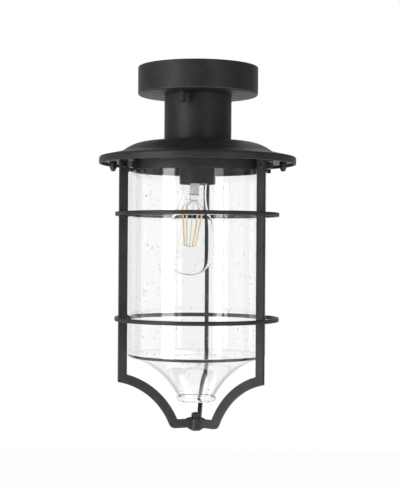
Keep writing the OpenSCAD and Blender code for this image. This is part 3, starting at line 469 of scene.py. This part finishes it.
def hexNut(flats, bore, low, high, steps=48):
    sink = 0.35
    return skin([circle(bore, low + sink, steps), circle(bore + sink, low, steps), circle(flats / 2, low, steps),
                 coneCut(flats, low, 1, steps), coneCut(flats, high, -1, steps), circle(flats / 2, high, steps),
                 circle(bore + sink, high, steps), circle(bore, high - sink, steps)], loop=True)


# a screw that points down from its head: a domed head with a cross or a slot cut in it, and a thread
def headedScrew(head, radius, pitch, seat, top, tip, recess="cross", steps=48):
    deep = (top - seat) * 0.62
    arm, wide = head * 0.58, head * 0.14

    def cutDepth(x, y):
        along, across = (abs(x), abs(y)) if abs(x) > abs(y) or recess == "slot" else (abs(y), abs(x))
        inside = min(1, max(0, (wide - across) / (wide * 0.35)))
        reach = 1 if recess == "slot" else min(1, max(0, (arm - along) / (arm * 0.3)))
        return deep * inside * reach

    rings = [[(0, 0, seat)], circle(head, seat, steps), circle(head, seat + (top - seat) * 0.35, steps)]
    for k in range(1, 19):
        r = head * (1 - k / 18)
        z = seat + (top - seat) * (0.35 + 0.65 * math.sqrt(max(0, 1 - (r / head) ** 3)))
        if r < 1e-6:
            rings.append([(0, 0, z - cutDepth(0, 0))])
            break
        rings.append([(x, y, z - cutDepth(x, y)) for x, y, _ in circle(r, 0, steps)])
    return joined([skin(rings), threadedBar(radius, pitch * 0.5, pitch, tip, seat + 0.1)])


# a weld bead: a rippled round ridge along a path, rounded off at its ends
def bead(path, radius, ripple=1.1, steps=10):
    path = [Vector(point) for point in path]
    rings, run = [[tuple(path[0])]], 0.0
    for i, point in enumerate(path):
        ahead = (path[min(i + 1, len(path) - 1)] - path[max(i - 1, 0)]).normalized()
        side = ahead.orthogonal().normalized() if abs(ahead.z) > 0.9 else ahead.cross(Vector((0, 0, 1))).normalized()
        other = ahead.cross(side)
        if i:
            run += (point - path[i - 1]).length
        fromEnd = min(i, len(path) - 1 - i)
        swell = radius * (0.55, 0.85, 1)[min(fromEnd, 2)] * (1 + 0.1 * math.cos(2 * math.pi * run / ripple))
        turns = [2 * math.pi * j / steps for j in range(steps)]
        rings.append([point + side * math.cos(a) * swell + other * math.sin(a) * swell for a in turns])
    return skin(rings + [[tuple(path[-1])]])


def straight(start, end, count):
    start, end = Vector(start), Vector(end)
    return [start.lerp(end, i / count) for i in range(count + 1)]


# ---------- nuts, bolts and threads

studs = {"circle": 44.45, "angles": (70.3, 250.3), "radius": 2.45, "pitch": 0.8, "low": -36, "high": 0,
         "nutFlats": 8, "nutLow": -5.6, "nutHigh": -1.6}
newPiece("studThreads", joined([moved(threadedBar(studs["radius"], 0.42, studs["pitch"], studs["low"], studs["high"]),
                                      atPolar(studs["circle"], a)) for a in studs["angles"]]),
         zincPlate, "fixture", ["canopy_studs"])
newPiece("studNuts", joined([moved(hexNut(studs["nutFlats"], studs["radius"] + 0.05, studs["nutLow"], studs["nutHigh"]),
                                   atPolar(studs["circle"], a)) for a in studs["angles"]]),
         zincPlate, "fixture", ["stud_locknuts"])

# the rod's real pitch is 0.94 mm
rod = {"radius": 4.85, "bore": 3.2, "pitch": 0.94, "low": -81.5, "high": -18, "nutFlats": 14,
       "nuts": ((-26, -22.5), (-80.9, -77.4))}
rodRings = threadRings(rod["radius"], 0.5, rod["pitch"], rod["low"], rod["high"], 32)
newPiece("rodThread", skin([circle(rod["bore"], rod["low"], 32)] + rodRings + [circle(rod["bore"], rod["high"], 32)],
                           loop=True), zincPlate, "fixture", ["threaded_rod"])
newPiece("rodHexNuts", joined([hexNut(rod["nutFlats"], rod["radius"] + 0.05, low, high, 60)
                               for low, high in rod["nuts"]]), zincPlate, "fixture", ["rod_nuts"])

earth = {"circle": 28, "angle": 250.3, "flats": 7, "headLow": -4.6, "seat": -1.6, "slotWide": 0.55, "slotDeep": 1.1}


# hexagon head with a screwdriver slot in its domed face, pointing down; the thread goes up
def slottedHexHead():
    rings = [[(0, 0, earth["seat"])], circle(earth["flats"] / 2, earth["seat"], 72),
             coneCut(earth["flats"], earth["seat"], -1, 72), coneCut(earth["flats"], earth["headLow"], 1, 72)]
    for k in range(14):
        r = earth["flats"] / 2 * (1 - k / 14)
        rings.append([(x, y, earth["headLow"] + earth["slotDeep"] * min(1, max(0, (earth["slotWide"] - abs(x)) * 6)))
                      for x, y, _ in circle(r, 0, 72)])
    rings.append([(0, 0, earth["headLow"] + earth["slotDeep"])])
    return skin(rings)


newPiece("earthScrew", moved(joined([slottedHexHead(), threadedBar(2, 0.35, 0.7, earth["seat"] - 0.1, 0)]),
                             atPolar(earth["circle"], earth["angle"])),
         greenPlate, "fixture", ["ground_screw"])

legAngles = (202, 322, 82)
footBolts = {"out": 75.2, "round": 16.7, "tip": -107.1, "seat": -92.6, "top": -90.2, "head": 3.4,
             "nutFlats": 7, "nutLow": -102.8, "nutHigh": -96.6, "pitch": 0.7, "coatedTo": -103.2}
footPlaces = [Matrix.Rotation(math.radians(a), 4, "Z") @ Matrix.Translation((footBolts["out"], footBolts["round"], 0))
              for a in legAngles]
newPiece("footScrews", joined([moved(headedScrew(footBolts["head"], 2, footBolts["pitch"], footBolts["seat"],
                                                 footBolts["top"], footBolts["coatedTo"]), place)
                               for place in footPlaces]), zincPlate, "cage", ["leg_screws"])
# the ends below the nuts were coated with the cage
newPiece("footScrewEnds", joined([moved(threadedBar(2, 0.35, footBolts["pitch"], footBolts["tip"], footBolts["coatedTo"]),
                                        place) for place in footPlaces]),
         powderCoat, "cage", ["leg_screws"])
newPiece("footNuts", joined([moved(hexNut(footBolts["nutFlats"], 2.05, footBolts["nutLow"], footBolts["nutHigh"]),
                                   place @ Matrix.Rotation(0.28 + 0.35 * i, 4, "Z"))
                             for i, place in enumerate(footPlaces)]), powderCoat, "cage", ["leg_nuts"])
print("fasteners ready")

# ---------- bolt head in the hub and the two screws that hold the cage up

hubBolt = {"flats": 8, "low": -350.5, "high": -345.3, "dome": 1.1, "face": 0.3, "shank": 2.45, "tip": -358.5}
boltHead = skin([[(0, 0, hubBolt["low"])], circle(3.85, hubBolt["low"]), circle(3.85, hubBolt["low"] + hubBolt["face"]),
                 hexRing(hubBolt["flats"], hubBolt["low"] + hubBolt["face"], 9),
                 coneCut(hubBolt["flats"], hubBolt["high"], -1)]
                + [circle(4 * math.cos(k * math.pi / 12), hubBolt["high"] + hubBolt["dome"] * math.sin(k * math.pi / 12))
                   for k in range(6)] + [[(0, 0, hubBolt["high"] + hubBolt["dome"])]])
newPiece("hubBoltHead", joined([boltHead, threadedBar(hubBolt["shank"], 0.42, 0.8, hubBolt["tip"], hubBolt["low"] + 0.1)]),
         powderCoat, "cage", ["hub_bolt"])

cageScrew = {"circle": 85.3, "seat": -95.0, "tip": -103.6, "straight": -99.8, "head": 3.6, "end": 2.3, "round": 1.0,
             "thread": 2, "pitch": 0.7, "top": -89.4}


# a blind head that narrows to a rounded end, with the thread above it
def cageScrewShape():
    tipCentre = cageScrew["tip"] + cageScrew["round"]
    section = [(0, cageScrew["tip"])]
    section += [(cageScrew["end"] - cageScrew["round"] * (1 - math.sin(a)), tipCentre - cageScrew["round"] * math.cos(a))
                for a in [k * math.pi / 14 for k in range(8)]]
    section += [(cageScrew["head"] - 0.12, cageScrew["straight"] - 0.25), (cageScrew["head"], cageScrew["straight"] + 0.25),
                (cageScrew["head"], cageScrew["seat"] - 0.25), (cageScrew["head"] - 0.25, cageScrew["seat"]),
                (0, cageScrew["seat"])]
    return joined([turned(section), threadedBar(cageScrew["thread"], 0.35, cageScrew["pitch"], cageScrew["seat"] - 0.1,
                                                cageScrew["top"])])


for side, angle in (("left", 175), ("right", 355)):
    newPiece("cageScrew_" + side, moved(cageScrewShape(), atPolar(cageScrew["circle"], angle)),
             powderCoat, "cap_screw_" + side, ["cap_screw_" + side])

# ---------- lampholder and lamp: both rolled with the same 3.6 mm thread

lampPlace = Matrix.Translation((-1, 0, -97.2)) @ Matrix.Rotation(math.radians(4.6), 4, "Y")


# outside and inside rings of thin metal rolled into a round thread between plain ends
def rolledRings(d, steps=96):
    rows = int((d["high"] - d["low"]) / d["pitch"] * 12)
    outside, inside = [], []
    for i in range(rows + 1):
        z = d["low"] + (d["high"] - d["low"]) * i / rows
        fade = min(1, max(0, (z - d["low"] - d["plainLow"]) / 1.2), max(0, (d["high"] - d["plainHigh"] - z) / 1.2))
        outer, inner = [], []
        for j in range(steps):
            a = 2 * math.pi * j / steps
            r = d["radius"] + d["wave"] * fade * math.cos(2 * math.pi * (z / d["pitch"] - j / steps))
            for k in range(d["dents"]):
                off = math.remainder(a - 2 * math.pi * k / d["dents"], 2 * math.pi) * d["radius"]
                r -= 0.3 * math.exp(-(off ** 2 + (z - d["low"] - 1.9) ** 2) / 0.4)
            outer.append((r * math.cos(a), r * math.sin(a), z))
            inner.append(((r - d["thick"]) * math.cos(a), (r - d["thick"]) * math.sin(a), z))
        outside.append(outer)
        inside.append(inner)
    return outside, inside


base = {"radius": 12.75, "wave": 0.3, "thick": 0.3, "pitch": 3.6, "low": -19, "high": 0.9, "plainLow": 3.2,
        "plainHigh": 0.8, "dents": 6}
outside, inside = rolledRings(base)
baseShell = skin(outside + [circle(r, z, 96) for r, z in ((12.35, 1.35), (11.4, 1.65), (8.0, 2.2), (7.7, 1.9), (11.3, 1.3))]
                 + inside[::-1], loop=True)
newPiece("lampBaseShell", moved(baseShell, lampPlace), nickelPlate, "lamp", ["lamp_shell"])
solder = {"side": (10.1, 1.9), "spread": 1.5, "rise": 0.55}
drop = [(solder["spread"] * math.sin(k * math.pi / 12), solder["rise"] * math.cos(k * math.pi / 12)) for k in range(7)]
drop = turned([(0, -0.3), (solder["spread"] * 0.9, -0.3)] + drop[::-1], 32)
newPiece("lampSideSolder", moved(drop, lampPlace @ atPolar(solder["side"][0], 200, solder["side"][1] - 0.1)),
         nickelPlate, "lamp")

holder = {"radius": 13.62, "wave": 0.18, "thick": 0.3, "pitch": 3.6, "low": -11.5, "high": 4.4, "plainLow": 1.0,
          "plainHigh": 0.6, "dents": 0}
outside, inside = rolledRings(holder)
holderShell = skin(outside + [circle(r, z, 96) for r, z in ((13.3, 4.8), (8.0, 4.85), (8.0, 4.55), (13.0, 4.5))]
                   + inside[::-1], loop=True)
newPiece("holderScrewShell", moved(holderShell, lampPlace), drawnBrass, "fixture", ["screw_shell"])

holderScrews = {"across": 6, "head": 2.6, "radius": 1.4, "pitch": 0.5, "seat": 12.2, "top": 13.6, "tip": 7}
newPiece("strapScrews", joined([moved(headedScrew(holderScrews["head"], holderScrews["radius"], holderScrews["pitch"],
                                                  holderScrews["seat"], holderScrews["top"], holderScrews["tip"]),
                                      lampPlace @ Matrix.Translation((x, 0, 0)))
                                for x in (-holderScrews["across"], holderScrews["across"])]),
         zincPlate, "fixture", ["holder_screws"])
terminals = {"across": 10, "head": 2.5, "radius": 1.4, "pitch": 0.5, "seat": 11, "top": 12.6, "tip": 7}
newPiece("terminalSlotScrews", joined([moved(headedScrew(terminals["head"], terminals["radius"], terminals["pitch"],
                                                         terminals["seat"], terminals["top"], terminals["tip"], "slot"),
                                             lampPlace @ Matrix.Translation((0, y, 0)) @ Matrix.Rotation(y, 4, "Z"))
                                       for y in (-terminals["across"], terminals["across"])]),
         drawnBrass, "fixture", ["terminal_screws"])

# the stem is a drawn tube, pressed flat and clear at its end round the lead wires
stem = {"radius": 4.6, "wall": 0.5, "top": -18.4, "tubeEnd": -29.3, "pressTop": -29.7, "end": -35.7,
        "halfWide": 4.55, "halfThick": 1.9, "seam": -29.6, "seamRadius": 0.42}


def pressRing(z, shrink=0.0, steps=40):
    ring = []
    for j in range(steps):
        a = 2 * math.pi * j / steps
        x = math.copysign(abs(math.cos(a)) ** 0.5, math.cos(a)) * (stem["halfWide"] - shrink)
        y = math.copysign(abs(math.sin(a)) ** 0.5, math.sin(a)) * (stem["halfThick"] - shrink)
        ring.append((x, y, z))
    return ring


wall = stem["radius"] - stem["wall"]
newPiece("lampStemTube", moved(turned([(stem["radius"], stem["tubeEnd"] + 0.2), (stem["radius"], stem["top"]),
                                       (wall, stem["top"]), (wall, stem["tubeEnd"]), (wall + 0.2, stem["tubeEnd"])],
                                      48, loop=True), lampPlace), stemGlass, "lamp", ["lamp_stem"])
press = [[(0, 0, stem["end"])]] + [pressRing(stem["end"] + rise, shrink) for rise, shrink in
                                   ((0, 0.8), (0.15, 0.35), (0.5, 0.05), (1.0, 0))]
press += [pressRing(stem["pressTop"] - 0.5), pressRing(stem["pressTop"], 0.4), [(0, 0, stem["pressTop"])]]
newPiece("lampStemPress", moved(skin(press), lampPlace), pressedGlass, "lamp", ["lamp_stem"])
turns = [2 * math.pi * k / 72 for k in range(72)]
seam = bead([((stem["radius"] - 0.1) * math.cos(a), (stem["radius"] - 0.1) * math.sin(a),
              stem["seam"] + 0.28 * math.sin(5 * a) + 0.12 * math.sin(11 * a)) for a in turns], stem["seamRadius"], 50)
newPiece("lampStemSeam", moved(seam, lampPlace), sealGlass, "lamp")
# small flat-ended pins join each filament to its wires
filament = {"turn": 61, "topRadius": 12, "lowRadius": 6.3, "top": -43, "length": 38, "pin": 1.3, "pinRadius": 0.42}
filament["low"] = filament["top"] - math.sqrt(filament["length"] ** 2
                                              - (filament["topRadius"] - filament["lowRadius"]) ** 2)
pins = []
for i in range(4):
    a = math.radians(filament["turn"] + 90 * i)
    high = Vector((filament["topRadius"] * math.cos(a), filament["topRadius"] * math.sin(a), filament["top"]))
    low = Vector((filament["lowRadius"] * math.cos(a), filament["lowRadius"] * math.sin(a), filament["low"]))
    along = (high - low).normalized()
    pins.append(bead(straight(high - along * 0.3, high + along * filament["pin"], 5), filament["pinRadius"], 50))
    pins.append(bead(straight(low + along * 0.3, low - along * filament["pin"], 5), filament["pinRadius"], 50))
newPiece("filamentPins", moved(joined(pins), lampPlace), nickelWire, "lamp")
print("lamp and holder ready")

# ---------- glass: the seeds caught in it, and what it rests on

# seeds are from 0.5 to 1.8 mm across, drawn out along the way the glass was blown
seeds = {"wall": 900, "bell": 240, "small": 0.22, "large": 0.6, "stretch": (1.0, 2.1),
         "middle": 67.5, "thick": 3.0, "low": -286, "high": -97, "bellCentre": (86.3, -361.5), "bellMiddle": 77.0,
         "bellFrom": 107, "bellTo": 152}
dice = random.Random(41)
ball = bmesh.new()
bmesh.ops.create_icosphere(ball, subdivisions=1, radius=1)
ballPoints = [vert.co.copy() for vert in ball.verts]
ballFaces = [[vert.index for vert in face.verts] for face in ball.faces]
ball.free()


def seed(place, size):
    grow = dice.uniform(*seeds["stretch"])
    return moved((ballPoints, ballFaces), place @ Matrix.Diagonal((size, size * dice.uniform(0.85, 1.1), size * grow, 1)))


def seedSize():
    return seeds["small"] + (seeds["large"] - seeds["small"]) * dice.random() ** 2.2


bubbles = []
for k in range(seeds["wall"]):
    size = seedSize()
    off = dice.uniform(-1, 1) * (seeds["thick"] / 2 - size - 0.25)
    bubbles.append(seed(atPolar(seeds["middle"] + off, dice.uniform(0, 360), dice.uniform(seeds["low"], seeds["high"]))
                        @ Matrix.Rotation(dice.gauss(0, 0.12), 4, "X"), size))
for k in range(seeds["bell"]):
    size = seedSize()
    off = dice.uniform(-1, 1) * (seeds["thick"] / 2 - size - 0.25)
    lean = math.radians(dice.uniform(seeds["bellFrom"], seeds["bellTo"]))
    reach = seeds["bellMiddle"] + off
    spot = atPolar(seeds["bellCentre"][0] + reach * math.cos(lean), dice.uniform(0, 360),
                   seeds["bellCentre"][1] + reach * math.sin(lean))
    bubbles.append(seed(spot @ Matrix.Rotation(math.pi - lean, 4, "Y"), size))
newPiece("glassSeeds", joined(bubbles), airBubble, "cage", crease=180)
print(len(bubbles), "seeds in the glass")

gasket = {"outer": 72.3, "inner": 69.5, "low": -92.6, "high": -91.8, "round": 0.3}
newPiece("flangeGasket", turned([(gasket["outer"] - gasket["round"], gasket["low"]), (gasket["outer"], gasket["low"] + gasket["round"]),
                                 (gasket["outer"], gasket["high"] - gasket["round"]), (gasket["outer"] - gasket["round"], gasket["high"]),
                                 (gasket["inner"] + gasket["round"], gasket["high"]), (gasket["inner"], gasket["high"] - gasket["round"]),
                                 (gasket["inner"], gasket["low"] + gasket["round"]), (gasket["inner"] + gasket["round"], gasket["low"])],
                                144, loop=True), silicone, "cage", ["glass_gasket"])

# a strip of sponge cord bent into a ring, flat below and crowned above, its sides drawn in a little
cushion = {"outer": 70.75, "inner": 67.55, "low": -88.78, "high": -83.4, "steps": 160}


def cushionRing():
    rings = []
    wide, tall = (cushion["outer"] - cushion["inner"]) / 2, cushion["high"] - cushion["low"]
    centre = (cushion["outer"] + cushion["inner"]) / 2
    for k in range(28):
        a = 2 * math.pi * k / 28
        across = math.copysign(abs(math.cos(a)) ** 0.55, math.cos(a)) * wide
        up = math.copysign(abs(math.sin(a)) ** (0.75 if math.sin(a) > 0 else 0.35), math.sin(a)) * tall / 2 + tall / 2
        pull = 1 - 0.07 * math.sin(math.pi * up / tall)
        ring = []
        for j in range(cushion["steps"]):
            t = 2 * math.pi * j / cushion["steps"]
            puff = noise.noise(Vector((math.cos(t) * 9, math.sin(t) * 9, k * 0.35))) * 0.12
            r = centre + (across - math.copysign(min(abs(across), abs(puff)), across) * (puff > 0)) * pull
            ring.append((r * math.cos(t), r * math.sin(t), cushion["low"] + up * (1 - 0.03 * abs(puff) * 8)))
        rings.append(ring)
    return skin(rings, loop=True)


spongeRing = newPiece("spongeCushion", cushionRing(), sponge, "cage", ["glass_cushion"], crease=60)
print("glass ready")

# ---------- welds: run in by hand, so their ripples vary, then coated with the cage

welds = {"ring": 0.75, "ringIn": 78.0, "ringOut": 81.7, "side": 1.75, "rings": ((-146.7, 1.95), (-251.0, 1.95)),
         "hub": 5.75, "hubTop": -350.5, "flatTop": -350.5, "flatLow": -359.1, "hubLow": -362.0,
         "collarOut": 70.8, "plateLow": -94.2, "collarTacks": 12, "tackSweep": 6}
beads = []
for angle in legAngles:
    turn = Matrix.Rotation(math.radians(angle), 4, "Z")
    for side in (-welds["side"], welds["side"]):
        for level, half in welds["rings"]:
            beads.append(moved(bead(straight((welds["ringIn"], side, level - half), (welds["ringIn"], side, level + half), 7),
                                    welds["ring"]), turn))
            beads.append(moved(bead(straight((welds["ringIn"], side, level + half), (welds["ringOut"], side, level + half), 7),
                                    welds["ring"] * 0.75), turn))
        beads.append(moved(bead(straight((welds["hub"] - 0.1, side * 1.05, welds["flatLow"] + 0.5),
                                         (welds["hub"] - 0.1, side * 1.05, welds["flatTop"] - 0.3), 14), 0.9), turn))
for k in range(welds["collarTacks"]):
    first = 360 * k / welds["collarTacks"] + 9
    path = [atPolar(welds["collarOut"], first + welds["tackSweep"] * i / 10, welds["plateLow"]) @ Vector((0, 0, 0))
            for i in range(11)]
    beads.append(bead(path, 0.8))
newPiece("cageWeldBeads", joined(beads), powderCoat, "cage", crease=60)

# a mound of weld where each leg's end meets the hub: low and blunt above, a fillet below
mound = {"from": 5.2, "to": 10.4, "rise": 1.7, "halfWide": 2.2, "sink": 0.6, "lowTo": 8.6, "lowDrop": 2.2}


def moundShape(reach, rise, base, way):
    rings = []
    for i in range(13):
        t = i / 12
        x = mound["from"] + (reach - mound["from"]) * t
        height = rise * math.cos(t * math.pi / 2) ** 0.42 * (1 + 0.05 * math.sin(t * 21)) + 0.05
        wide = mound["halfWide"] * (1 - 0.25 * t * t)
        ring = []
        for j in range(16):
            a = 2 * math.pi * j / 16
            up = math.sin(a) * (height if math.sin(a) > 0 else mound["sink"])
            ring.append((x, math.cos(a) * wide, base + way * up))
        rings.append(ring)
    ends = [[(mound["from"], 0, base)], [(reach + 0.2, 0, base)]]
    return skin([ends[0]] + rings + [ends[1]])


hubMounds = []
for angle in legAngles:
    turn = Matrix.Rotation(math.radians(angle), 4, "Z")
    hubMounds.append(moved(moundShape(mound["to"], mound["rise"], welds["flatTop"], 1), turn))
    hubMounds.append(moved(moundShape(mound["lowTo"], mound["lowDrop"], welds["flatLow"], -1), turn))
newPiece("hubWeldMounds", joined(hubMounds), powderCoat, "cage", crease=60)
print("welds ready")

# ---------- edges of the cut, spun and pressed metal, rounded by the coat and the tumbling

softEdges = {"canopy": 0.5, "neck_tube": 0.3, "cap": 0.5, "cage_plate": 0.4, "collar": 0.4, "ring_upper": 0.5,
             "ring_lower": 0.5, "leg_left": 0.45, "leg_right": 0.45, "leg_back": 0.45, "leg_feet": 0.3,
             "hub_boss": 0.5, "socket_cup": 0.4, "mounting_bracket": 0.25, "holder_strap": 0.25,
             "lampholder": 0.4, "wire_bushing": 0.3, "cap_bosses": 0.3}
for name, width in softEdges.items():
    weld = nodes[name].modifiers.new("weldSeams", "WELD")
    weld.merge_threshold = 0.001 * mm
    edge = nodes[name].modifiers.new("softEdge", "BEVEL")
    edge.width = width * mm
    edge.segments = 2
    edge.limit_method = "ANGLE"
    edge.angle_limit = math.radians(38)
    edge.harden_normals = False
    smooth = nodes[name].modifiers.new("evenNormals", "WEIGHTED_NORMAL")
    smooth.keep_sharp = False
print("edges ready")
